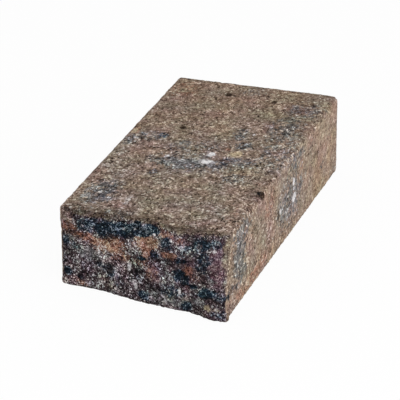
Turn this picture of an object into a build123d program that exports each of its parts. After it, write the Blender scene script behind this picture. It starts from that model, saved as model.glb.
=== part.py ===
from build123d import *
from math import cos, exp, pi
import os

# A solid concrete wall end block, cast in a mould and broken across one end.
# X runs across the broken end, Y from that end to the moulded end, Z up from the bed.
# The origin is the middle of the bed face of the mould's own outline.

# Driving dimensions, in millimetres
block_width = 193.7
block_length = 396.9
block_height = 92.1

# Arrises: the two uprights of the moulded end, the two of the broken end,
# then the edges round the top and round the bed
moulded_left_radius = 2.5
moulded_right_radius = 7.0
broken_left_radius = 5.5
broken_right_radius = 7.0
top_arris_radius = 4.0
bed_arris_radius = 2.0

# Course of the break, measured outwards from the end of the mould's outline:
# short of it at the left, past it at the right, and furthest at the right-hand foot
break_setback_left = 10.5
break_lean_right = 13.0
break_toe_right = 22.0

# Bulges (+) and hollows (-) of the break:
# share of the width from the left, share of the height, reach, and how far it stands out
break_lumps = [
    (0.12, 0.98, 26.0, 6.5),
    (0.14, 0.45, 24.0, 1.4),
    (0.32, 0.92, 22.0, 2.2),
    (0.27, 0.30, 26.0, -2.2),
    (0.38, 0.03, 26.0, 1.6),
    (0.42, 0.70, 22.0, -2.0),
    (0.48, 0.42, 20.0, 2.6),
    (0.61, 0.04, 16.0, -1.8),
    (0.68, 0.92, 26.0, 3.6),
    (0.66, 0.34, 22.0, -3.0),
    (0.77, 0.03, 20.0, -5.6),
    (0.86, 0.58, 24.0, 2.0),
    (0.95, 0.03, 12.0, 2.6),
    (0.98, 0.94, 22.0, -4.0),
    (1.04, 0.04, 14.0, -5.6),
]

# Fineness of the break: points across it, levels up it, and how far it runs past the block
points_across = 23
levels_up = 9
break_overrun = 15.0

# Length of the casting's other half that is still on the block before the break
waste_length = break_lean_right + break_toe_right + break_overrun


def ease(share):
    """Rises smoothly from 0 to 1 as the share does."""
    share = min(max(share, 0.0), 1.0)
    return (1.0 - cos(pi * share)) / 2.0


def break_y(x, z):
    """Where the break lies along Y at one point of the block's end."""
    across = x / block_width + 0.5
    up = z / block_height
    toe = 1.0 - min(max(up, 0.0), 1.0) ** 2
    stands_out = ease(across) * (break_lean_right + break_toe_right * toe) - break_setback_left
    for lump_across, lump_up, reach, height in break_lumps:
        off_x = (across - lump_across) * block_width
        off_z = (up - lump_up) * block_height
        stands_out += height * exp(-(off_x**2 + off_z**2) / reach**2)
    return -block_length / 2 - stands_out


# The casting's other half, lofted up from the course of the break at each level
waste_width = block_width + 2 * break_overrun
waste_height = block_height + 2 * break_overrun
waste_end = -block_length / 2 - waste_length - break_overrun
xs = [waste_width * (i / (points_across - 1) - 0.5) for i in range(points_across)]
zs = [waste_height * k / (levels_up - 1) - break_overrun for k in range(levels_up)]

with BuildPart() as waste_half:
    for z in zs:
        with BuildSketch(Plane.XY.offset(z)):
            with BuildLine():
                edge_of_break = Spline(*[(x, break_y(x, z)) for x in xs])
                Polyline(edge_of_break @ 1, (xs[-1], waste_end), (xs[0], waste_end), edge_of_break @ 0)
            make_face()
    loft()

# The block itself: the casting less its other half, then its arrises, uprights first
with BuildPart() as end_block:
    with BuildSketch():
        with Locations((0, -waste_length / 2)):
            Rectangle(block_width, block_length + waste_length)
    extrude(amount=block_height)
    add(waste_half.part, mode=Mode.SUBTRACT)
    moulded_left = end_block.faces().sort_by(Axis.Y)[-1].edges().sort_by(Axis.X)[0]
    fillet(moulded_left, moulded_left_radius)
    moulded_right = end_block.faces().sort_by(Axis.Y)[-1].edges().sort_by(Axis.X)[-1]
    fillet(moulded_right, moulded_right_radius)
    broken_left = end_block.faces().sort_by(Axis.Y)[0].edges().sort_by(Axis.X)[0]
    fillet(broken_left, broken_left_radius)
    broken_right = end_block.faces().sort_by(Axis.Y)[0].edges().sort_by(Axis.X)[-1]
    fillet(broken_right, broken_right_radius)
    fillet(end_block.faces().sort_by(Axis.Z)[-1].edges(), top_arris_radius)
    fillet(end_block.faces().sort_by(Axis.Z)[0].edges(), bed_arris_radius)

end_block.part.label = "wall_end_block"
os.makedirs("parts", exist_ok=True)
export_step(end_block.part, "parts/wall_end_block.step")
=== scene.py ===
from math import cos, radians, sin
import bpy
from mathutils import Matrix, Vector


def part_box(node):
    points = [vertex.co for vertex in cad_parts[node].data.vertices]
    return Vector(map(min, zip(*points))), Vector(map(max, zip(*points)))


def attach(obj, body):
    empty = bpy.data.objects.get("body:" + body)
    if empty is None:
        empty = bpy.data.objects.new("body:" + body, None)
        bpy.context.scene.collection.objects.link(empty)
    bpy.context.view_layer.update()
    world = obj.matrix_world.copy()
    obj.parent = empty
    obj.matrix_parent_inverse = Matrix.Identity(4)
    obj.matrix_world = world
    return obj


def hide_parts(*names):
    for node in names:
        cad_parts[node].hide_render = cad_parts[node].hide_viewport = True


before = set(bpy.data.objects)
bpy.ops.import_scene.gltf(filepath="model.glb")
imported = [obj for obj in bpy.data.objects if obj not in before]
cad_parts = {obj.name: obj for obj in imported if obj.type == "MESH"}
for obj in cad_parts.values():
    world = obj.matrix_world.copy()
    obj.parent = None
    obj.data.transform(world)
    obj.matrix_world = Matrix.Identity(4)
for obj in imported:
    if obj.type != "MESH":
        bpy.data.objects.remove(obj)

from types import SimpleNamespace

import bmesh
import bpy
from mathutils import Vector, noise
from mathutils.bvhtree import BVHTree

# The finish of a concrete wall end block: a sandy moulded skin, and a rough broken end that shows the mix.
# Lengths are in metres, and MM turns millimetres into them.
# X is across the broken end, Y runs back from it, and Z is up.

MM = 0.001
NODE = "wall_end_block"

low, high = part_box(NODE)
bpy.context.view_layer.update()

# Faces of the skin along each edge, and how much closer they lie at the broken end
FACES_ACROSS = 142
FACES_ALONG = 168
FACES_UP = 68
CLOSER_AT_BREAK = 0.45

# The course of the break is read from this far in front of it, and this far in from the arrises,
# so that their rounding isn't taken for its course
BREAK_READ_START = 50 * MM
BREAK_READ_INSET = 9 * MM

# Behind the break's foremost point: where the wear of its arris is measured from, and how far back
# a face can still count as broken
BREAK_EDGE = 30 * MM
BREAK_ZONE = 80 * MM

# What each point of the skin notes for its finish
NOTED = ("broken", "hidden", "upright", "sunk")

# How far a face turns, from 0 to 1, as it comes to count as broken, hidden or upright
BROKEN_TURN = (0.15, 0.75)
HIDDEN_TURN = (0.4, 0.9)
UPRIGHT_TURN = (0.2, 0.8)

# How deep the break lies, in millimetres, as it comes to count as sunk, which its colour shows as painted
# shade
SUNK_DEPTHS = (-0.8, 2.6)

# Corners of the solid's loose triangles that lie closer than this are one
SEWN_WITHIN = 0.001 * MM

# The lowest of the bed's relief stays this far above the floor, so that the two are never in one plane
BED_CLEARANCE = 0.05 * MM


def fade(value, start, end):
    """Rises smoothly from 0 at start to 1 at end."""
    share = min(max((value - start) / (end - start), 0.0), 1.0)
    return share * share * (3.0 - 2.0 * share)


# The skin on the solid

def solid_surface():
    """The block's own solid, sewn up from a copy of its loose triangles, ready to be measured."""
    copy = bmesh.new()
    copy.from_mesh(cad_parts[NODE].data)
    bmesh.ops.remove_doubles(copy, verts=copy.verts, dist=SEWN_WITHIN)
    tree = BVHTree.FromBMesh(copy)
    copy.free()
    return tree


def divide_along(skin, axis, faces):
    """Divides every edge that runs along one axis."""
    runs = [e for e in skin.edges if abs(e.verts[1].co[axis] - e.verts[0].co[axis]) > MM]
    bmesh.ops.subdivide_edges(skin, edges=runs, cuts=faces - 1)


def wrap(skin, surface):
    """Lays a divided box on the solid: its front on the break, the rest drawn out behind it."""
    for vert in skin.verts:
        behind = (vert.co.y - low.y) / (high.y - low.y)
        behind = behind * (1.0 - CLOSER_AT_BREAK) + behind**2 * CLOSER_AT_BREAK
        x = min(max(vert.co.x, low.x + BREAK_READ_INSET), high.x - BREAK_READ_INSET)
        z = min(max(vert.co.z, low.z + BREAK_READ_INSET), high.z - BREAK_READ_INSET)
        start = Vector((x, low.y - BREAK_READ_START, z))
        hit = surface.ray_cast(start, Vector((0, 1, 0)))[0]
        y = hit.y + (high.y - hit.y) * behind
        vert.co = surface.find_nearest(Vector((vert.co.x, y, vert.co.z)))[0]


# Relief, with points, sizes and heights in millimetres

# Gentle unevenness of the skin and of the break: how high, how broad, and a seed
SKIN_SWELLS = [(0.22, 34, 3.1), (0.2, 6, 8.4), (0.2, 2.2, 5.2)]
BREAK_SWELLS = [(1.3, 23, 1.3), (1.1, 9.5, 6.6), (0.3, 2.0, 4.7)]

# Rounded stones in the skin and in the break: how high and how broad
SKIN_PEBBLES = [(0.34, 3.4)]
BREAK_PEBBLES = [(1.3, 6.0), (0.9, 3.0)]

# Pinholes all over the skin: how far apart, how deep, and the shares of that spacing at their floor and rim
PINHOLE_SPACING = 13
PINHOLE_DEPTH = 0.9
PINHOLE_WALL = (0.04, 0.17)

# Ledges of the break fall away to each side of a winding line: how steeply, how much the whole face
# is raised to make up for it, how broad they are, and a seed
LEDGE_DROP = 1.3
LEDGE_LIFT = 0.3
LEDGE_SIZE = 15
LEDGE_SEED = 2.9

# An arris is worn over this distance to each side of it
ARRIS_REACH = 6.0 * MM

# What an arris has lost all along it, what bites and crumbs add to that, each as how deep, how broad
# and a seed, and how far a crumb may stand out
ARRIS_WEAR = 0.6
BITES = (0.6, 8, 9.9)
CRUMBS = (0.7, 3.4, 7.7)
CRUMB_PROUD = 0.2

# Corners that stand out more than the solid's (+), or are worn back further (-): where, how far round,
# and how much. All of it shows within this share of how far round.
CORNER_CORE = 0.2
CORNERS = [
    (Vector((-95, -187, 1)), 7.0, 1.5),
    (Vector((96, -218, 4)), 10.0, 2.6),
    (Vector((94, 196, 90)), 9.0, -0.9),
]

# Small holes and chips in the moulded skin: where, how wide and how deep. Their wall stands between
# these shares of how wide.
PIT_WALL = (0.3, 1.3)
PITS = [
    (Vector((-24.0, 161.0, 92)), 3.6, 1.6),
    (Vector((33.0, 155.0, 92)), 2.6, 1.3),
    (Vector((-42.0, 51.0, 92)), 2.8, 1.5),
    (Vector((-33.0, -78.0, 92)), 3.6, 1.2),
    (Vector((-57.0, 21.0, 92)), 4.0, 0.8),
    (Vector((32.0, -26.0, 92)), 5.0, 0.9),
    (Vector((97.0, -95.0, 91)), 4.6, 3.0),
    (Vector((97.0, 94.5, 86)), 4.0, 1.6),
    (Vector((78.0, 157.0, 92)), 2.6, 1.2),
    (Vector((67.0, 137.0, 92)), 2.4, 1.1),
]

# Torn hollows in the break: where across and up, half their length and height, how they climb
# to the right, and how deep. Their wall stands between these shares of their reach.
TEAR_WALL = (0.4, 1.2)
TEARS = [
    (56, 33, 12, 2.4, 0.22, 2.4),
    (47, 58, 11, 2.6, 0.08, 2.0),
    (27, 54, 13, 3.0, 0.15, 1.1),
    (46, 42, 8, 6.0, 0.0, 1.4),
    (84, 23, 14, 3.4, -0.2, 1.8),
    (-40, 27, 6, 7.0, 0.0, 1.8),
    (-54, 31, 6, 4.0, 0.2, 1.2),
    (-76, 12, 8, 3.0, 0.1, 1.5),
    (-3, 35, 7, 5.0, 0.2, 1.4),
    (-45, 68, 9, 3.0, -0.2, 0.6),
    (-22, 70, 13, 6.0, 0.1, 1.2),
    (14, 58, 6, 4.0, 0.0, 1.2),
    (-90, 17, 6, 5.0, 0.0, 1.2),
    (20, 19, 20, 2.6, 0.12, 0.9),
]


def swell(point, size, seed):
    """Even, gentle unevenness of one size, from about -0.7 to 0.7."""
    return noise.noise(point / size + Vector((seed, seed * 1.7, seed * 2.3)))


def pebble(point, size):
    """Rounded stones of one size, from about -0.5 between them to 0.5 on top."""
    return 0.5 - noise.voronoi(point / size)[0][0]


def rough(point, swells, pebbles):
    """A surface that is uneven in several sizes at once."""
    rise = sum(height * swell(point, size, seed) for height, size, seed in swells)
    return rise + sum(height * pebble(point, size) for height, size in pebbles)


def skin_relief(point):
    """The moulded faces: a little out of flat, sandy, with small holes."""
    rise = rough(point, SKIN_SWELLS, SKIN_PEBBLES)
    pinhole = noise.voronoi(point / PINHOLE_SPACING)[0][0]
    rise -= PINHOLE_DEPTH * (1.0 - fade(pinhole, *PINHOLE_WALL))
    for centre, reach, depth in PITS:
        away = (point - centre).length
        rise -= depth * (1.0 - fade(away / reach, *PIT_WALL))
    return rise


def break_relief(point):
    """The broken face: lumps, torn ledges and the stones of the mix."""
    rise = rough(point, BREAK_SWELLS, BREAK_PEBBLES)
    rise += LEDGE_LIFT - LEDGE_DROP * abs(swell(point, LEDGE_SIZE, LEDGE_SEED))
    for across, up, half_length, half_height, climb, depth in TEARS:
        off_x = point.x - across
        off_z = point.z - up - climb * off_x
        reach = ((off_x / half_length) ** 2 + (off_z / half_height) ** 2) ** 0.5
        rise -= depth * (1.0 - fade(reach, *TEAR_WALL))
    return rise


def arris_share(point, break_depth):
    """1 on an arris, and 0 beyond its reach, for a point in metres."""
    gaps = [
        min(point.x - low.x, high.x - point.x),
        min(point.z - low.z, high.z - point.z),
        min(break_depth, high.y - point.y),
    ]
    return 1.0 - fade(sorted(gaps)[1], 0.0, ARRIS_REACH)


def arris_relief(point):
    """What an arris has lost, and what a corner has more or less."""
    bite_depth, bite_size, bite_seed = BITES
    crumb_depth, crumb_size, crumb_seed = CRUMBS
    bitten = bite_depth * max(0.0, swell(point, bite_size, bite_seed))
    loss = ARRIS_WEAR + bitten + crumb_depth * swell(point, crumb_size, crumb_seed)
    more = 0.0
    for corner, reach, gain in CORNERS:
        more += gain * (1.0 - fade((point - corner).length, CORNER_CORE * reach, reach))
    return more - max(loss, -CRUMB_PROUD)


def roughen(skin):
    """Moves the skin in and out by its relief, and notes on each point what its finish needs."""
    skin.normal_update()
    noted = {name: skin.verts.layers.float.new(name) for name in NOTED}
    moves = []
    for vert in skin.verts:
        point = vert.co / MM
        towards = -vert.normal.y if vert.co.y < low.y + BREAK_ZONE else 0.0
        broken = fade(towards, *BROKEN_TURN)
        depth = max(0.0, vert.co.y - (low.y + BREAK_EDGE)) if broken < 0.5 else 0.0
        rise = (1.0 - broken) * skin_relief(point) + broken * break_relief(point)
        rise += arris_share(vert.co, depth) * arris_relief(point)
        turned_away = max(-vert.normal.x, vert.normal.y, -vert.normal.z)
        standing = 1.0 - abs(vert.normal.z)
        vert[noted["broken"]] = broken
        vert[noted["hidden"]] = fade(turned_away, *HIDDEN_TURN)
        vert[noted["upright"]] = fade(standing, *UPRIGHT_TURN) * (1.0 - broken)
        vert[noted["sunk"]] = fade(-rise, *SUNK_DEPTHS) * broken
        moves.append(vert.normal * rise * MM)
    for vert, move in zip(skin.verts, moves):
        vert.co += move
        vert.co.z = max(vert.co.z, low.z + BED_CLEARANCE)


def block_skin():
    """The block as it is seen: the solid's shape with all its relief."""
    skin = bmesh.new()
    bmesh.ops.create_cube(skin, size=1.0)
    bmesh.ops.scale(skin, vec=high - low, verts=skin.verts)
    bmesh.ops.translate(skin, vec=(high + low) / 2, verts=skin.verts)
    for axis, faces in enumerate((FACES_ACROSS, FACES_ALONG, FACES_UP)):
        divide_along(skin, axis, faces)
    wrap(skin, solid_surface())
    roughen(skin)
    for face in skin.faces:
        face.smooth = True
    mesh = bpy.data.meshes.new("block_skin")
    skin.to_mesh(mesh)
    skin.free()
    piece = bpy.data.objects.new("block_skin", mesh)
    bpy.context.scene.collection.objects.link(piece)
    return piece


# Node building

def paint(red, green, blue):
    """A colour given as it looks on screen, from 0 to 255, as the light value that a socket takes."""
    levels = [c / 255 for c in (red, green, blue)]
    return (*[c / 12.92 if c < 0.04045 else ((c + 0.055) / 1.055) ** 2.4 for c in levels], 1.0)


def put(tree, kind, sockets=None, **settings):
    """One node, with its settings, and a value or a link for each socket that is named."""
    node = tree.nodes.new(kind)
    for name, value in settings.items():
        setattr(node, name, value)
    for name, value in (sockets or {}).items():
        if isinstance(value, bpy.types.NodeSocket):
            tree.links.new(value, node.inputs[name])
        else:
            node.inputs[name].default_value = value
    return node


def sums(tree, operation, *values, clamp=False):
    """The result of a sum on numbers or links."""
    node = put(tree, "ShaderNodeMath", dict(enumerate(values)), operation=operation, use_clamp=clamp)
    return node.outputs[0]


def weighted(tree, start, *terms):
    """A start plus each term times its weight."""
    for value, weight in terms:
        start = sums(tree, "MULTIPLY_ADD", value, weight, start)
    return start


def rise_between(tree, value, start, end, top=1.0):
    """A smooth rise from 0 at start to top at end."""
    sockets = {"Value": value, "From Min": start, "From Max": end, "To Max": top}
    return put(tree, "ShaderNodeMapRange", sockets, interpolation_type="SMOOTHSTEP").outputs[0]


def mixed(tree, share, first, second):
    """A number on the way from the first to the second, by share."""
    return put(tree, "ShaderNodeMix", {0: share, 2: first, 3: second}).outputs[0]


def blend_colours(tree, share, under, over):
    """over laid on under, by share."""
    return put(tree, "ShaderNodeMix", {0: share, 6: under, 7: over}, data_type="RGBA").outputs[2]


def vectors(tree, operation, first, second):
    """The result of a sum on two positions or colours."""
    return put(tree, "ShaderNodeVectorMath", {0: first, 1: second}, operation=operation).outputs[0]


def scaled(tree, vector, factor):
    """A position or colour times a number."""
    return put(tree, "ShaderNodeVectorMath", {0: vector, "Scale": factor}, operation="SCALE").outputs[0]


def soft_noise(tree, position, size, detail=3.0):
    """Soft noise of one size at a position, as a number, Fac, and a colour, Color."""
    return put(tree, "ShaderNodeTexNoise", {"Vector": position, "Scale": 1 / size, "Detail": detail}).outputs


def tones(tree, value, run):
    """The colour that a value has in a run of colours, each at its place from 0 to 1."""
    node = put(tree, "ShaderNodeValToRGB", {0: value})
    ramp = node.color_ramp
    while len(ramp.elements) < len(run):
        ramp.elements.new(0.5)
    for element, (place, colour) in zip(ramp.elements, run):
        element.position = place
        element.color = paint(*colour)
    return node.outputs[0]


def new_group(name, inputs, outputs):
    """An empty node group with named sockets."""
    group = bpy.data.node_groups.new(name, "ShaderNodeTree")
    for label, kind in inputs:
        group.interface.new_socket(name=label, in_out="INPUT", socket_type=kind)
    for label, kind in outputs:
        group.interface.new_socket(name=label, in_out="OUTPUT", socket_type=kind)
    return group, group.nodes.new("NodeGroupInput"), group.nodes.new("NodeGroupOutput")


# Shares of its radii at which a patch of pigment is at its full strength, and at which it has gone
PATCH_CORE = 0.45
PATCH_EDGE = 1.5

# Shares of a grain's size, from its middle, at which its dome is at its top, and at which it ends
DOME_TOP = 0.1
DOME_EDGE = 0.75


def pigment_patch_group():
    """One soft patch of pigment, added to those before it."""
    sockets = [
        ("Position", "NodeSocketVector"),
        ("Centre", "NodeSocketVector"),
        ("Radii", "NodeSocketVector"),
        ("Strength", "NodeSocketFloat"),
        ("So Far", "NodeSocketFloat"),
    ]
    group, given, result = new_group("pigment_patch", sockets, [("Mask", "NodeSocketFloat")])
    given = given.outputs
    away = vectors(group, "SUBTRACT", given["Position"], given["Centre"])
    share = vectors(group, "DIVIDE", away, given["Radii"])
    reach = put(group, "ShaderNodeVectorMath", {0: share}, operation="LENGTH").outputs["Value"]
    strong = sums(group, "MULTIPLY", rise_between(group, reach, PATCH_EDGE, PATCH_CORE), given["Strength"])
    group.links.new(sums(group, "MAXIMUM", strong, given["So Far"]), result.inputs["Mask"])
    return group


def grain_group():
    """Grains of one size: what each draws by lot, and how it bulges."""
    sockets = [("Position", "NodeSocketVector"), ("Size", "NodeSocketFloat")]
    results = [(name, "NodeSocketFloat") for name in ("Tone", "Pick", "Rare", "Dome")]
    group, given, result = new_group("grain", sockets, results)
    given = given.outputs
    fine = sums(group, "DIVIDE", 1.0, given["Size"])
    cells = put(group, "ShaderNodeTexVoronoi", {"Vector": given["Position"], "Scale": fine}).outputs
    lots = put(group, "ShaderNodeSeparateColor", {0: cells["Color"]}).outputs
    for name, lot in zip(("Tone", "Pick", "Rare"), lots):
        group.links.new(lot, result.inputs[name])
    group.links.new(rise_between(group, cells["Distance"], DOME_EDGE, DOME_TOP), result.inputs["Dome"])
    return group


# Pigment patches, each a centre, its radii and a strength, in millimetres

# How deep a patch reaches in from the top or the right side, and along Y from the middle of the break
SKIN_DEPTH = 14
BREAK_PLACE = -207
BREAK_DEPTH = 40

# How far a smear along the rim reaches back over the top, and down
RIM_REACH = 14
RIM_DEPTH = 5

top_z = high.z / MM
right_x = high.x / MM


def on_top(x, y, across, along, strength):
    """A patch on the top."""
    return (x, y, top_z), (across, along, SKIN_DEPTH), strength


def on_right(y, z, along, up, strength):
    """A patch on the right side."""
    return (right_x, y, z), (SKIN_DEPTH, along, up), strength


def on_break(x, z, across, up, strength=1.0):
    """A patch on the broken end."""
    return (x, BREAK_PLACE, z), (across, BREAK_DEPTH, up), strength


def on_rim(x, y, across, strength):
    """A smear along the top arris of the break."""
    return (x, y, top_z), (across, RIM_REACH, RIM_DEPTH), strength


CHARCOAL = [
    on_break(-63, 75, 18, 9, 0.8),
    on_break(-43, 75.5, 17, 9.5, 1.05),
    on_break(-26, 75.5, 14, 10, 1.15),
    on_break(-6, 79, 13, 6.5, 1.4),
    on_break(7, 83, 12, 5, 1.3),
    on_break(-91, 52, 6, 9, 0.85),
    on_break(-79, 49, 8, 5, 0.7),
    on_break(-90, 18, 6, 5.5, 1.1),
    on_break(-92, 31, 5, 6, 0.55),
    on_break(27, 72.5, 7, 7, 0.9),
    on_break(13, 57, 5, 4.5, 0.75),
    on_break(27, 53, 12, 4, 0.3),
    on_break(44, 57.5, 11, 3, 0.65),
    on_break(66, 77, 13, 8, 0.7),
    on_break(70, 60, 10, 13, 0.6),
    on_break(78, 47, 9, 7, 0.34),
    on_break(54, 70, 13, 5, 0.62),
    on_break(-3, 51, 6, 2.6, 0.8),
    on_break(42, 42, 7, 8, 0.8),
    on_break(50, 37, 7, 6, 0.85),
    on_break(57, 33.5, 13, 2.2, 0.9),
    on_break(77, 29, 17, 6.5, 0.85),
    on_break(89, 26, 11, 6, 0.7),
    on_break(50, 8, 10, 6, 0.8),
    on_break(42, 29, 7, 5, 0.5),
    on_break(88, 8, 9, 6, 0.6),
    on_break(2, 9, 7, 5.5, 0.9),
    on_break(27, 27, 8, 5, 0.45),
    on_break(-4, 34, 7, 5.5, 0.42),
    on_break(-44, 28, 14, 9, 0.5),
    on_break(-53, 31, 6, 5, 0.55),
    on_break(-76, 12, 7, 4, 0.6),
    on_break(35, 21, 18, 8, 0.6),
    on_break(-34, 20, 12, 8, 0.6),
    on_break(-18, 47, 6, 3, 0.35),
    on_break(-14, 60, 8, 6, 0.35),
    on_break(46, 66, 7, 5, 0.5),
    on_top(33, -27, 8, 12, 0.66),
    on_top(56, -19, 10, 6, 0.3),
    on_top(40, 20, 8, 12, 0.5),
    on_top(-33, -77, 6, 10, 0.7),
    on_top(-56, 22, 6, 9, 0.7),
    on_top(-77, 20, 5, 6, 0.5),
    on_top(26, 50, 7, 16, 0.3),
    on_top(76, 138, 20, 28, 0.2),
    on_top(66, 90, 16, 30, 0.34),
    on_top(-64, -146, 12, 34, 0.42),
    on_top(-26, -30, 12, 16, 0.3),
    on_top(70, -170, 20, 14, 0.2),
    on_right(-204, 27, 15, 6, 0.6),
    on_right(-174, 52, 16, 38, 0.26),
    on_right(43, 46, 9, 12, 0.3),
    on_right(-38, 41, 5, 5, 0.4),
    on_right(34, 86, 24, 5, 0.18),
    ((right_x, -96, top_z - 1), (4.2, 5.6, 4.2), 0.9),
    on_right(107, 57, 9, 5, 0.3),
    on_right(97, 87, 9, 4, 0.3),
    on_rim(-74, -189, 26, 0.32),
    on_rim(-32, -190, 26, 0.4),
    on_rim(4, -194, 20, 0.3),
    on_rim(54, -201, 15, 0.36),
    on_break(82, 79, 10, 5, 0.6),
]

GREY = [
    on_break(-63, 41, 15, 8, 0.85),
    on_break(-86, 57, 9, 5, 0.6),
    on_break(66, 17, 9, 5, 0.7),
    on_break(30, 12, 26, 8, 0.7),
    on_break(-42, 29, 16, 10, 0.4),
    on_break(-85, 37, 8, 6, 0.4),
    on_break(33, 34, 11, 5, 0.35),
    on_break(80, 43, 8, 5, 0.45),
    on_top(-12, -43, 34, 17, 0.85),
    on_top(18, -38, 26, 14, 0.7),
    on_top(0, -36, 58, 34, 0.42),
    on_top(48, -24, 26, 14, 0.5),
    on_top(-28, -2, 14, 26, 0.5),
    on_top(40, 17, 12, 18, 0.55),
    on_top(25, 52, 10, 22, 0.6),
    on_top(74, 140, 24, 32, 0.5),
    on_top(66, 80, 24, 44, 0.6),
    on_top(80, 8, 26, 50, 0.5),
    on_top(4, 178, 20, 14, 0.4),
    on_top(-66, -145, 20, 38, 0.7),
    on_top(-86, 3, 8, 16, 0.68),
    on_top(-66, 18, 20, 18, 0.4),
    on_top(-40, -42, 18, 10, 0.45),
    on_top(56, -67, 16, 16, 0.5),
    on_top(10, 8, 34, 22, 0.35),
    on_top(30, -112, 46, 50, 0.14),
    on_top(-84, -40, 12, 24, 0.25),
    on_right(-166, 80, 34, 11, 0.7),
    on_right(-175, 56, 23, 28, 0.8),
    on_right(-168, 34, 22, 15, 0.65),
    on_right(-180, 25, 10, 8, 0.5),
    on_right(2, 42, 46, 34, 0.6),
    on_right(-6, 68, 12, 12, 0.4),
    on_right(30, 80, 30, 12, 0.6),
    on_right(42, 48, 15, 15, 0.6),
    on_right(10, 26, 34, 12, 0.4),
    on_right(-40, 26, 18, 12, 0.35),
    on_right(64, 52, 6, 14, 0.35),
    on_right(130, 34, 9, 6, 0.45),
    on_right(170, 6, 24, 6, 0.4),
]

TERRACOTTA = [
    on_break(-87, 70, 12, 11, 0.74),
    on_break(-68, 61, 16, 7, 0.75),
    on_break(-56, 58.5, 12, 6.5, 0.85),
    on_break(-39, 54.5, 21, 11, 0.85),
    on_break(9, 40, 11, 16, 0.35),
    on_break(-27, 45.5, 12, 7, 0.75),
    on_break(4, 67, 15, 10, 1.05),
    on_break(4, 55, 6, 9, 0.65),
    on_break(26, 82, 12, 4.5, 0.6),
    on_break(-3, 46, 7, 5, 0.45),
    on_break(30, 60.5, 11, 4.5, 0.65),
    on_break(42, 77, 6, 4, 0.4),
    on_break(61, 43, 6, 4.5, 0.4),
    on_break(53, 49, 9, 6, 0.65),
    on_break(-73, 5, 9, 4, 0.55),
    on_break(-91, 5, 6, 4, 0.4),
    on_break(11, 38, 9, 9, 0.5),
    on_break(-37, 13, 6, 5, 0.3),
    on_top(-80, 162, 22, 32, 0.55),
    on_top(-90, 27, 7, 10, 1.0),
    on_top(-60, 0, 6, 7, 0.45),
    on_top(47, 62, 7, 18, 0.45),
    on_top(82, -156, 9, 26, 0.5),
    on_top(-84, -90, 8, 9, 0.45),
    on_top(25, 7, 5, 6, 0.6),
    on_top(88, -64, 10, 22, 0.3),
    on_top(-20, 120, 60, 60, 0.16),
    on_top(56, 118, 28, 14, 0.24),
    on_top(60, -150, 9, 26, 0.25),
    on_right(-98, 15, 24, 8, 0.6),
    on_right(-140, 11, 60, 10, 0.68),
    on_right(-115, 72, 14, 14, 0.35),
    on_right(-134, 63, 16, 9, 0.35),
    on_right(-172, 13, 12, 6, 0.4),
    on_right(-60, 12, 8, 5, 0.35),
    on_right(-66, 66, 24, 22, 0.48),
    on_right(-77, 44, 16, 9, 0.35),
    on_right(49, 68, 7.5, 6.5, 0.8),
    on_right(88, 79, 12, 4, 0.45),
    on_right(155, 57, 30, 12, 0.36),
    on_right(130, 12, 22, 7, 0.36),
]

UMBER = [
    on_break(87, 60, 12, 28, 0.85),
    on_break(58, 70, 22, 16, 0.4),
    on_break(-74, 24, 20, 12, 0.35),
    on_break(44, 68, 10, 12, 0.4),
    on_break(6, 65, 12, 9, 0.45),
    on_right(-150, 14, 11, 7, 0.35),
    on_break(57, 55, 12, 11, 0.5),
    on_break(41, 30, 7, 5, 0.5),
    on_break(27, 82, 11, 4.5, 0.8),
    on_break(13, 34, 10, 12, 0.75),
    on_break(-74, 12, 16, 8, 0.5),
    on_break(-26, 23, 14, 8, 0.4),
    on_break(48, 74, 9, 7, 0.5),
    on_break(49, 27, 8, 5, 0.6),
    on_break(2, 22, 6, 4, 0.3),
    on_break(-50, 8, 14, 6, 0.3),
    on_break(-44, 18, 18, 7, 0.5),
    on_break(-10, 62, 7, 6, 0.4),
    on_break(78, 8, 16, 8, 0.45),
    on_break(34, 47, 8, 5, 0.5),
    on_right(-210, 62, 8, 30, 0.35),
    on_right(-63, 68, 14, 14, 0.68),
    on_top(76, 140, 22, 34, 0.22),
    on_top(72, 60, 26, 60, 0.2),
    on_right(12, 48, 36, 30, 0.3),
    on_right(-212, 10, 14, 10, 0.4),
]

OCHRE = [
    on_right(-118, 62, 26, 30, 0.22),
    on_right(-118, 22, 50, 18, 0.22),
    on_break(-88, 72, 8, 7, 0.25),
    on_right(-98, 15, 24, 8, 0.2),
    on_right(49, 68, 7.5, 6.5, 0.5),
    on_right(-140, 10, 60, 9, 0.12),
    on_top(-90, 26, 5, 9, 1.0),
    on_top(0, -120, 16, 16, 0.42),
    on_right(100, 40, 13, 13, 0.48),
    on_top(38, -4, 6, 7.5, 1.6),
    on_break(77, 14.5, 6, 3.5, 0.8),
    on_break(86, 14, 4, 3, 0.6),
    on_right(-111, 75, 14, 14, 0.4),
    on_right(156, 36, 10, 11, 0.6),
]

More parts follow.
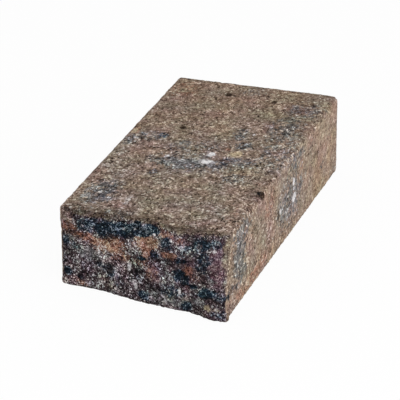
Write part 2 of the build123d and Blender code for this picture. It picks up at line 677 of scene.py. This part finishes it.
BLOOM = [
    on_right(49, 69, 6.5, 5.5, 0.36),
    on_top(-10, -42, 26, 14, 0.15),
    on_top(12, -11.5, 3.8, 5.4, 1.4),
    on_top(13, -34.5, 5.5, 5, 1.25),
    on_top(12, -33, 11, 9, 0.48),
    on_top(13, -30, 16, 20, 0.16),
    on_top(-32, -29, 2.8, 4, 0.8),
    on_top(-12, -38, 6, 4, 0.45),
    on_top(-17, -10, 4, 5, 0.35),
    on_top(39.4, 56, 1.5, 3.4, 0.8),
    on_top(-33, -158, 4, 19, 0.4),
    on_top(-45, -155, 5, 5, 0.25),
    on_top(-52, -44, 14, 6, 0.18),
    on_top(8, 178, 14, 10, 0.12),
    on_right(18.7, 59, 3.8, 4.6, 1.15),
    on_right(20.5, 39.6, 7, 4.7, 1.2),
    on_right(19, 46, 14, 20, 0.2),
    on_right(-31, 44.6, 4, 3, 0.65),
    on_right(-5, 34, 6, 3, 0.6),
    on_right(-8, 26, 8, 5, 0.35),
    on_right(-60, 24, 6, 4, 0.3),
    on_right(117, 53, 5, 3, 0.3),
    on_right(-176, 28, 6, 5, 0.3),
    on_break(-15.5, 38, 3.2, 4.6, 0.72),
    on_break(-7, 19, 2.2, 4.5, 0.72),
    on_break(-52.5, 46, 1.8, 3, 0.75),
    on_break(43.4, 23.4, 2.0, 4.5, 0.7),
    on_break(-11.5, 23, 4, 2, 0.5),
    on_break(-10.4, 79.2, 1.8, 1.6, 0.55),
    on_break(12.5, 78.5, 2.2, 1.6, 0.75),
    on_break(-59.7, 16.4, 2.4, 2.4, 0.5),
    on_break(80.3, 72, 2.4, 2.2, 0.6),
    on_break(-71, 38, 2.2, 2.2, 0.5),
    on_break(87, 13, 1.8, 4, 0.5),
    on_break(-24, 77, 2, 2, 0.5),
    on_break(6, 20, 3, 4, 0.35),
    on_break(-64, 42, 14, 8, 0.28),
    on_break(-88, 58, 8, 4, 0.3),
    on_break(66, 17, 8, 5, 0.34),
]

# Dirt and painted shade in the small holes and chips of the skin and in hollows of the break, and darker
# smears along the top arris of the break
DIRT_AND_PAINTED_SHADE = [
    on_top(-24, 161, 4.2, 5.4, 1.1),
    on_top(33, 155, 3.0, 5.2, 0.8),
    on_top(-42, 51, 3.3, 4.6, 1.15),
    on_top(78, 157, 4, 5, 0.7),
    on_top(67, 137, 4, 5, 0.6),
    on_top(20, -106, 3, 4, 0.4),
    on_right(-38, 41, 4, 4.5, 0.75),
    on_right(101, 57, 6, 3.4, 0.6),
    on_right(112, 55, 4, 3, 0.5),
    on_right(47, 44, 6, 5, 0.4),
    ((right_x - 1.5, -95, top_z - 1.5), (6, 6.5, 5.5), 1.3),
    on_break(27, 72, 5, 5, 0.3),
    on_break(50, 38, 6, 6, 0.4),
    on_break(-4, 34, 5, 4, 0.4),
    on_break(-3, 80, 10, 5, 0.55),
    on_break(41, 30, 6, 4, 0.35),
    on_rim(-74, -189, 26, 0.3),
    on_rim(-32, -190, 26, 0.24),
    on_rim(4, -194, 22, 0.24),
    on_rim(30, -198, 20, 0.16),
    on_rim(56, -202, 18, 0.3),
]

# The skin of the top that the break has left hanging over its edge, which also takes painted shade
LIP = [
    on_break(-58, 93, 44, 7.5),
    on_break(-5, 93, 40, 5, 0.95),
    on_break(45, 93, 36, 7.5),
]

# Where the skin is wrapped round an upright on to the break
WRAPPED = [
    on_break(80, 93, 20, 6),
    on_break(97, 73, 8, 20),
    on_break(97, 50, 4, 26, 0.6),
    on_break(-92, 83, 12, 8, 0.8),
    on_break(-97, 60, 2.5, 44, 0.7),
]


# A mottled mask keeps at least this much of its strength, and up to so much more
MOTTLE_LEAST = 0.7
MOTTLE_SPAN = 0.5

# A grain takes a pigment where its mask outweighs the grain's lot, which runs from the least over the
# span. It begins to take it a little before that, and has all of it where the mask is ahead by a softness.
LOT_LEAST = 0.1
LOT_SPAN = 0.5
TAKES_FROM = -0.1
SOFTNESS = 0.42


def patches(tree, group, position, listed):
    """How strongly one pigment shows at a position."""
    mask = 0.0
    for centre, radii, strength in listed:
        sockets = {"Centre": centre, "Radii": radii, "Strength": strength}
        sockets.update({"Position": position, "So Far": mask})
        mask = put(tree, "ShaderNodeGroup", sockets, node_tree=group).outputs["Mask"]
    return mask


def mottled(tree, mask, unevenness):
    """A mask made uneven, thinner in some places than in others."""
    return sums(tree, "MULTIPLY", mask, weighted(tree, MOTTLE_LEAST, (unevenness, MOTTLE_SPAN)))


def wander(tree, position, size, amount):
    """A position that strays by up to an amount, so that what is drawn there has ragged edges."""
    drift = soft_noise(tree, position, size, 2.0)["Color"]
    centred = vectors(tree, "SUBTRACT", drift, (0.5, 0.5, 0.5))
    return vectors(tree, "ADD", position, scaled(tree, centred, amount))


def grains_that_take(tree, mask, lot, softness=SOFTNESS):
    """The grains that draw a pigment, more of them where its mask is stronger."""
    odds = sums(tree, "SUBTRACT", mask, weighted(tree, LOT_LEAST, (lot, LOT_SPAN)))
    return rise_between(tree, odds, TAKES_FROM, softness)


# Green drifts less than red and blue, by this share
GREEN_SHARE = 0.7


def tint(tree, position, size, amount):
    """A near-white colour whose red, green and blue drift a little from place to place."""
    drift = soft_noise(tree, position, size, 1.0)["Color"]
    spans = (amount, GREEN_SHARE * amount, amount)
    sockets = {0: drift, 1: spans, 2: tuple(1 - span / 2 for span in spans)}
    return put(tree, "ShaderNodeVectorMath", sockets, operation="MULTIPLY_ADD").outputs[0]


# The concrete, which is one mix: the skin shows it pressed against the mould, and the break shows its inside

# Runs of colour from a dark grain to a bright one, as they look on screen
SKIN_TONES = [
    (0.0, (23, 15, 12)),
    (0.25, (97, 80, 69)),
    (0.5, (130, 112, 99)),
    (0.75, (156, 138, 124)),
    (1.0, (216, 204, 190)),
]
MIX_TONES = [
    (0.0, (2, 1, 2)),
    (0.3, (34, 26, 29)),
    (0.5, (67, 54, 57)),
    (0.75, (110, 93, 97)),
    (1.0, (244, 240, 241)),
]
UMBER_TONES = [
    (0.0, (6, 3, 5)),
    (0.3, (50, 31, 37)),
    (0.55, (97, 71, 79)),
    (0.8, (128, 101, 107)),
    (1.0, (186, 162, 162)),
]
GREY_TONES = [
    (0.0, (14, 13, 14)),
    (0.3, (74, 71, 71)),
    (0.55, (108, 105, 104)),
    (0.8, (140, 138, 137)),
    (1.0, (238, 237, 236)),
]
TERRACOTTA_TONES = [
    (0.0, (36, 20, 15)),
    (0.3, (106, 70, 58)),
    (0.55, (155, 110, 91)),
    (0.8, (181, 140, 119)),
    (1.0, (224, 198, 180)),
]
OCHRE_TONES = [(0.0, (104, 88, 70)), (0.5, (177, 160, 136)), (1.0, (226, 212, 190))]
CHARCOAL_TONES = [
    (0.0, (1, 2, 4)),
    (0.4, (11, 20, 29)),
    (0.62, (28, 43, 57)),
    (0.84, (55, 71, 87)),
    (1.0, (168, 180, 192)),
]
LIME_TONES = [(0.0, (142, 139, 142)), (0.5, (226, 222, 223)), (1.0, (242, 240, 241))]

# Sizes of grains in millimetres: stones and the sand between them for the skin, chips and dust for the break
STONE_SIZE = 2.5
SAND_SIZE = 1.4
CHIP_SIZE = 1.6
DUST_SIZE = 0.82

# The skin's grains are a little shorter across, where this is above 1, and longer along, where it is below
GRAIN_SQUEEZE = (1.05, 0.74, 1.0)

# The brightness of a grain starts here in the skin and in the break, and drifts softly at this size
SKIN_START = -0.45
SKIN_DRIFT_SIZE = 9
BREAK_START = -0.52
BREAK_DRIFT_SIZE = 13

# Lots between which a grain turns into a bright glint or a dark speck
GLINT_LOTS = (0.95, 0.99)
SPECK_LOTS = (0.06, 0.02)

# What brightness comes closer to where the skin is quiet, and where the break is calm
QUIET_TONE = 0.5
CALM_TONE = 0.61

# Where the break turns darker towards its foot, and calmer to the right, and how calm it gets
FOOT_RUN = (40, 5)
CALM_RUN = (0, 50, 0.2)

# The lots of chips and dust run from this least over this span
BREAK_LOT_LEAST = 0.12
BREAK_LOT_SPAN = 0.75

# Grey and red drift over the faces that have no patches: the size and detail of the drift, where it
# begins and is full, and how strong it is
GREY_DRIFT = (48, 3.0, 0.48, 0.66, 0.75)
RED_DRIFT = (34, 2.0, 0.53, 0.7, 0.4)

# The size of the noise that mottles pigments, and where it begins and is full
MOTTLE_SIZE = 8
MOTTLE_RUN = (0.34, 0.62)

# Where along Y the colours of the far part and of the near end begin, and are reached
FAR_RUN = (-60, 140)
NEAR_RUN = (-70, -120)

# How grains and patches stray from their places, as sizes and amounts in millimetres,
# which pigments do three times over, the broadest first
SKIN_GRAIN_STRAY = (4, 3)
BREAK_GRAIN_STRAY = (3, 3)
PIGMENT_STRAYS = [(14, 9), (4.5, 5.5), (2, 4)]
DIRT_AND_PAINTED_SHADE_STRAY = (3, 3.5)
LIP_STRAY = (9, 5)
BLOOM_STRAY = (5, 2.5)

# How much of the umber the skin hides where it covers it
UMBER_COVERED = 0.8

# How much of the face has turned to the break as its inside begins to show, and shows all over
BARE_RUN = (0.3, 0.75)

# How softly grains take umber, red and ochre, and then charcoal: on the skin, and what the break adds
SOFT_EDGE = (0.87, -0.29)
SHARP_EDGE = (0.5, -0.1)

# Painted light that makes the uprights lighter, and their far part more so; painted shade that the lip loses;
# and what all that is covered loses
PAINTED_UPRIGHT_LIGHT = 0.3
PAINTED_FAR_LIGHT = 0.1
LIP_SHADE = 0.32
COVERED_SHADE = 0.14

# How far grains stand out, as shares of a millimetre, and how strongly on the skin and more on the break
STONE_RISE = 0.5
SAND_RISE = 0.22
CHIP_RISE = 0.5
DUST_RISE = 0.2
SKIN_BUMP = 0.6
BREAK_BUMP = 0.5

# Matt all over, with some grains of sand a little more so
ROUGHNESS = 0.8
ROUGHER_GRAINS = 0.16

# Drifts of tint, broad and fine, each as its size and amount on the skin, and then on the break
TINTS = [((34, 0.32), (24, 0.3)), ((6, 0.16), (7, 0.36))]

# What the colour is multiplied by at the far end, on the near part of the uprights, and in dirt with painted
# shade
WHITE = (1, 1, 1, 1)
FAR_SHADE = (1.025, 0.998, 0.95, 1)
NEAR_SHADE = (0.97, 0.965, 0.92, 1)
DIRT_AND_PAINTED_SHADE_COLOUR = (0.13, 0.105, 0.09, 1)


def read_surface(tree):
    """Where on the block a point is, in millimetres, and what the skin has noted there."""
    position = scaled(tree, put(tree, "ShaderNodeTexCoord").outputs["Object"], 1 / MM)
    place = put(tree, "ShaderNodeSeparateXYZ", {0: position}).outputs
    away = rise_between(tree, place["Y"], *FAR_RUN)
    noted = {name: put(tree, "ShaderNodeAttribute", attribute_name=name).outputs["Fac"] for name in NOTED}
    return SimpleNamespace(position=position, place=place, away=away, **noted)


def read_grains(tree, position):
    """The grains at a position: stones and sand of the skin, and the finer chips and dust of the break."""
    grain = grain_group()
    drawn_out = wander(tree, vectors(tree, "MULTIPLY", position, GRAIN_SQUEEZE), *SKIN_GRAIN_STRAY)
    flecked = wander(tree, position, *BREAK_GRAIN_STRAY)
    sizes = [
        (drawn_out, STONE_SIZE),
        (drawn_out, SAND_SIZE),
        (flecked, CHIP_SIZE),
        (flecked, DUST_SIZE),
    ]
    found = []
    for where, size in sizes:
        found.append(put(tree, "ShaderNodeGroup", {"Position": where, "Size": size}, node_tree=grain).outputs)
    stones, sand, chips, dust = found
    return SimpleNamespace(stones=stones, sand=sand, chips=chips, dust=dust)


def skin_tone(tree, surface, grains):
    """How bright a grain of the skin is: partly its own, partly the sand's on it, and drifting."""
    tone = weighted(
        tree, SKIN_START,
        (soft_noise(tree, surface.position, SKIN_DRIFT_SIZE)["Fac"], 0.75),
        (grains.stones["Tone"], 0.56),
        (grains.sand["Tone"], 0.6),
    )
    glints = rise_between(tree, grains.sand["Pick"], *GLINT_LOTS)
    tone = weighted(tree, tone, (glints, sums(tree, "MULTIPLY_ADD", surface.upright, -0.3, 0.36)))
    specks = rise_between(tree, grains.sand["Pick"], *SPECK_LOTS)
    tone = weighted(tree, tone, (specks, -0.34))
    quiet = weighted(tree, 0.0, (surface.upright, 0.2), (surface.away, 0.14))
    return mixed(tree, quiet, tone, QUIET_TONE)


def break_tone(tree, surface, grains):
    """How bright a grain of the break is: darker where sunk, as painted shade in its hollows, and low down,
    and calmer at the right.
    """
    tone = weighted(
        tree, BREAK_START,
        (soft_noise(tree, surface.position, BREAK_DRIFT_SIZE)["Fac"], 0.8),
        (grains.chips["Tone"], 0.58),
        (grains.dust["Tone"], 0.78),
        (surface.sunk, -0.36),
        (rise_between(tree, surface.place["Z"], *FOOT_RUN), -0.05),
        (rise_between(tree, grains.dust["Rare"], *GLINT_LOTS), 0.36),
    )
    calm = rise_between(tree, surface.place["X"], *CALM_RUN)
    return mixed(tree, calm, tone, CALM_TONE)


def draw_lots(tree, surface, grains):
    """Which grains the break shows, how bright each is, and the lots that share out the pigments."""
    skin = skin_tone(tree, surface, grains)
    inside = break_tone(tree, surface, grains)
    in_break = grains_that_take(tree, surface.broken, grains.chips["Pick"])
    chip_lot = weighted(tree, BREAK_LOT_LEAST, (grains.chips["Rare"], BREAK_LOT_SPAN))
    dust_lot = weighted(tree, BREAK_LOT_LEAST, (grains.dust["Pick"], BREAK_LOT_SPAN))
    return SimpleNamespace(
        in_break=in_break,
        tone=mixed(tree, in_break, skin, inside),
        coarse=mixed(tree, in_break, grains.stones["Pick"], chip_lot),
        fine=mixed(tree, in_break, grains.sand["Rare"], dust_lot),
    )


def hidden_drift(tree, surface, size, detail, start, full, strength):
    """A pigment that drifts softly over the faces that are out of the photo's sight."""
    drift = soft_noise(tree, surface.position, size, detail)["Fac"]
    return sums(tree, "MULTIPLY", rise_between(tree, drift, start, full, strength), surface.hidden)


def read_pigments(tree, surface):
    """How strongly each pigment, the dirt and painted shade, the lip and the lime bloom show at a point."""
    position = surface.position
    strayed = position
    for size, amount in PIGMENT_STRAYS:
        strayed = wander(tree, strayed, size, amount)
    patch = pigment_patch_group()

    # The faces that have no patches have soft drifts instead
    grey_drift = hidden_drift(tree, surface, *GREY_DRIFT)
    red_drift = hidden_drift(tree, surface, *RED_DRIFT)
    unevenness = rise_between(tree, soft_noise(tree, position, MOTTLE_SIZE)["Fac"], *MOTTLE_RUN)

    charcoal = mottled(tree, patches(tree, patch, strayed, CHARCOAL), unevenness)
    grey = sums(tree, "MAXIMUM", patches(tree, patch, strayed, GREY), grey_drift)
    grey = mottled(tree, grey, unevenness)
    red = sums(tree, "MAXIMUM", patches(tree, patch, strayed, TERRACOTTA), red_drift)
    red = mottled(tree, red, unevenness)
    ochre = patches(tree, patch, strayed, OCHRE)
    # Dirt, with painted shade in the holes, chips and hollows of the break
    dirt_and_painted_shade = patches(tree, patch, wander(tree, position, *DIRT_AND_PAINTED_SHADE_STRAY), DIRT_AND_PAINTED_SHADE)

    # Skin covers the lip and what is wrapped round the uprights, and little umber shows through it
    at_edges = wander(tree, position, *LIP_STRAY)
    lip = patches(tree, patch, at_edges, LIP)
    covered = sums(tree, "MAXIMUM", lip, patches(tree, patch, at_edges, WRAPPED))
    shows = weighted(tree, 1.0, (covered, -UMBER_COVERED))
    umber = sums(tree, "MULTIPLY", patches(tree, patch, strayed, UMBER), shows)
    bloom = patches(tree, patch, wander(tree, position, *BLOOM_STRAY), BLOOM)
    return SimpleNamespace(
        charcoal=charcoal, grey=grey, red=red, ochre=ochre, umber=umber,
        dirt_and_painted_shade=dirt_and_painted_shade, lip=lip, covered=covered, bloom=bloom,
    )


def coated(tree, surface, grains, lots, pigments):
    """The paste's own colour with its pigments over it, grain by grain."""
    bare = rise_between(tree, surface.broken, *BARE_RUN)
    bare = sums(tree, "SUBTRACT", bare, pigments.covered, clamp=True)
    inside = grains_that_take(tree, bare, grains.chips["Tone"])
    skin = tones(tree, lots.tone, SKIN_TONES)
    mix = tones(tree, lots.tone, MIX_TONES)
    colour = blend_colours(tree, inside, skin, mix)
    soft = weighted(tree, SOFT_EDGE[0], (surface.broken, SOFT_EDGE[1]))
    sharp = weighted(tree, SHARP_EDGE[0], (surface.broken, SHARP_EDGE[1]))
    coats = [
        (pigments.umber, lots.fine, soft, UMBER_TONES),
        (pigments.grey, lots.coarse, SOFTNESS, GREY_TONES),
        (pigments.red, lots.coarse, soft, TERRACOTTA_TONES),
        (pigments.ochre, lots.coarse, soft, OCHRE_TONES),
        (pigments.charcoal, lots.fine, sharp, CHARCOAL_TONES),
    ]
    for mask, lot, softness, run in coats:
        taken = grains_that_take(tree, mask, lot, softness)
        colour = blend_colours(tree, taken, colour, tones(tree, lots.tone, run))
    return colour


def shaded(tree, colour, surface, pigments):
    """A colour that drifts in tint, is yellower far back and on the near uprights, and dark in dirt and
    painted shade.
    """
    for skin_drift, break_drift in TINTS:
        skin_tint = tint(tree, surface.position, *skin_drift)
        break_tint = tint(tree, surface.position, *break_drift)
        drift = blend_colours(tree, surface.broken, skin_tint, break_tint)
        colour = vectors(tree, "MULTIPLY", colour, drift)
    near = sums(tree, "MULTIPLY", surface.upright, rise_between(tree, surface.place["Y"], *NEAR_RUN))
    # The last multiplier is dirt with painted shade in holes and hollows
    for share, shade in ((surface.away, FAR_SHADE), (near, NEAR_SHADE), (pigments.dirt_and_painted_shade, DIRT_AND_PAINTED_SHADE_COLOUR)):
        colour = vectors(tree, "MULTIPLY", colour, blend_colours(tree, share, WHITE, shade))
    return colour


def painted_light_and_shade(tree, surface, pigments):
    """What the colour is multiplied by: more on the uprights, as painted light, and less on the skin of the
    lip, as painted shade.
    """
    painted_light = sums(tree, "MULTIPLY", surface.upright, weighted(tree, PAINTED_UPRIGHT_LIGHT, (surface.away, PAINTED_FAR_LIGHT)))
    # Painted shade along the lip, and a little darkening where the skin covers the break
    in_lip = weighted(tree, 0.0, (pigments.covered, COVERED_SHADE), (pigments.lip, LIP_SHADE))
    in_lip = sums(tree, "MULTIPLY", surface.broken, in_lip)
    return sums(tree, "SUBTRACT", sums(tree, "ADD", painted_light, 1.0), in_lip)


def grain_bump(tree, surface, grains, lots):
    """Grain that stands up from the paste, more on the break than on the skin."""
    skin_rise = weighted(tree, 0.0, (grains.stones["Dome"], STONE_RISE), (grains.sand["Dome"], SAND_RISE))
    break_rise = weighted(tree, 0.0, (grains.chips["Dome"], CHIP_RISE), (grains.dust["Dome"], DUST_RISE))
    rise = mixed(tree, lots.in_break, skin_rise, break_rise)
    rise = sums(tree, "MULTIPLY", rise, weighted(tree, SKIN_BUMP, (surface.broken, BREAK_BUMP)))
    return put(tree, "ShaderNodeBump", {"Height": rise, "Distance": MM}).outputs[0]


def blended_concrete():
    """Buff concrete with charcoal and terracotta pigment, sandy on the skin and coarse on the break."""
    material = bpy.data.materials.new("blended_concrete")
    material.use_nodes = True
    tree = material.node_tree
    shader = tree.nodes["Principled BSDF"]
    shader.inputs["Specular IOR Level"].default_value = 0.08

    surface = read_surface(tree)
    grains = read_grains(tree, surface.position)
    lots = draw_lots(tree, surface, grains)
    pigments = read_pigments(tree, surface)

    colour = coated(tree, surface, grains, lots, pigments)
    colour = shaded(tree, colour, surface, pigments)
    # Painted light on the uprights and painted shade on the lip
    colour = scaled(tree, colour, painted_light_and_shade(tree, surface, pigments))
    blooming = grains_that_take(tree, pigments.bloom, lots.fine, 0.5)
    colour = blend_colours(tree, blooming, colour, tones(tree, lots.tone, LIME_TONES))

    tree.links.new(colour, shader.inputs["Base Color"])
    tree.links.new(grain_bump(tree, surface, grains, lots), shader.inputs["Normal"])
    roughness = weighted(tree, ROUGHNESS, (grains.sand["Rare"], ROUGHER_GRAINS))
    tree.links.new(roughness, shader.inputs["Roughness"])
    return material


# The stage

# A surface that shows white to the camera has this share of plain white in it
CAMERA_WHITE = 0.94

# How far the floor reaches to each side, and how strong the even light of the room is off camera
FLOOR_REACH = 6.0
ROOM_LIGHT = 0.65

# The floor is open under the block, so that light reaches the bed from below. The opening stays this far
# inside the moulded outline, and ends here along Y at the left (-1) and the right (1) of the break
OPENING_INSET = 4 * MM
OPENING_FRONT = {-1: -184 * MM, 1: -210 * MM}

# Soft lamps, each a name, a place, a size and a power, all turned to one point of the block
LAMPS = [
    ("key", (1.1, -1.6, 1.8), 1.6, 28),
    ("right_fill", (2.2, -0.4, 0.7), 1.4, 9),
]
LAMP_AIM = (0, 0, 0.05)

# The photo's own view: where it looks, from how far, how far round from the front and up, and its lens
CAMERA_AIM = Vector((-6.73, 5.45, 27.95)) * MM
CAMERA_DISTANCE = 3.0482
CAMERA_AZIMUTH = 18.449
CAMERA_ELEVATION = 23.98
CAMERA_LENS = 248.4


def seen(tree):
    """1 where the camera looks, also by way of a shiny or a clear surface, and 0 for all other light."""
    rays = put(tree, "ShaderNodeLightPath").outputs
    looked_at = sums(tree, "MAXIMUM", rays["Is Camera Ray"], rays["Is Glossy Ray"])
    return sums(tree, "MAXIMUM", looked_at, rays["Is Transmission Ray"])


def floor_finish():
    """Pale and matt, lifted to white where the camera sees it, and clear from below."""
    material = bpy.data.materials.new("pale_floor")
    material.use_nodes = True
    tree = material.node_tree
    tree.nodes.remove(tree.nodes["Principled BSDF"])
    matt = put(tree, "ShaderNodeBsdfDiffuse", {"Color": (0.9, 0.9, 0.9, 1)}).outputs[0]
    white = put(tree, "ShaderNodeEmission", {"Color": (1, 1, 1, 1), "Strength": 1.0}).outputs[0]
    clear = put(tree, "ShaderNodeBsdfTransparent").outputs[0]
    share = sums(tree, "MULTIPLY", seen(tree), CAMERA_WHITE)
    from_above = put(tree, "ShaderNodeMixShader", {0: share, 1: matt, 2: white}).outputs[0]
    below = put(tree, "ShaderNodeNewGeometry").outputs["Backfacing"]
    shown = put(tree, "ShaderNodeMixShader", {0: below, 1: from_above, 2: clear}).outputs[0]
    tree.links.new(shown, tree.nodes["Material Output"].inputs["Surface"])
    return material


def make_floor():
    """A level floor that the rim of the bed face stands on, open inside that rim."""
    plane = bmesh.new()
    bmesh.ops.create_grid(plane, x_segments=1, y_segments=1, size=FLOOR_REACH)
    opening = plane.faces[:][0]
    bmesh.ops.inset_individual(plane, faces=[opening], thickness=FLOOR_REACH - 1.0)
    for vert in opening.verts:
        side = 1 if vert.co.x > 0 else -1
        vert.co.x = side * (high.x - OPENING_INSET)
        vert.co.y = high.y - OPENING_INSET if vert.co.y > 0 else OPENING_FRONT[side]
    bmesh.ops.delete(plane, geom=[opening], context="FACES")
    mesh = bpy.data.meshes.new("floor")
    plane.to_mesh(mesh)
    plane.free()
    floor = bpy.data.objects.new("floor", mesh)
    floor.data.materials.append(floor_finish())
    bpy.context.scene.collection.objects.link(floor)


def lamp(name, place, size, power):
    """A square soft lamp at a place, turned to the block."""
    data = bpy.data.lights.new(name, "AREA")
    data.size = size
    data.energy = power
    made = bpy.data.objects.new(name, data)
    made.location = place
    made.rotation_euler = (Vector(LAMP_AIM) - Vector(place)).to_track_quat("-Z", "Y").to_euler()
    bpy.context.scene.collection.objects.link(made)


def light_room():
    """Even light from all round, and white where the camera looks past the floor."""
    world = bpy.data.worlds.new("room")
    bpy.context.scene.world = world
    world.use_nodes = True
    tree = world.node_tree
    level = sums(tree, "MULTIPLY_ADD", seen(tree), 1.0 - ROOM_LIGHT, ROOM_LIGHT)
    tree.links.new(level, tree.nodes["Background"].inputs["Strength"])
    tree.nodes["Background"].inputs["Color"].default_value = (1, 1, 1, 1)


def place_camera():
    """A camera that looks at the block as the photo does."""
    turn, tilt = radians(CAMERA_AZIMUTH), radians(CAMERA_ELEVATION)
    back = Vector((sin(turn) * cos(tilt), -cos(turn) * cos(tilt), sin(tilt)))
    data = bpy.data.cameras.new("camera")
    data.lens = CAMERA_LENS
    data.sensor_width = 36
    camera = bpy.data.objects.new("camera", data)
    camera.location = CAMERA_AIM + back * CAMERA_DISTANCE
    camera.rotation_euler = (-back).to_track_quat("-Z", "Y").to_euler()
    bpy.context.scene.collection.objects.link(camera)
    bpy.context.scene.camera = camera


block = block_skin()
block.data.materials.append(blended_concrete())
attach(block, "root")
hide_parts(NODE)

make_floor()
light_room()
for name, place, size, power in LAMPS:
    lamp(name, place, size, power)
place_camera()
bpy.context.scene.view_settings.view_transform = "Standard"
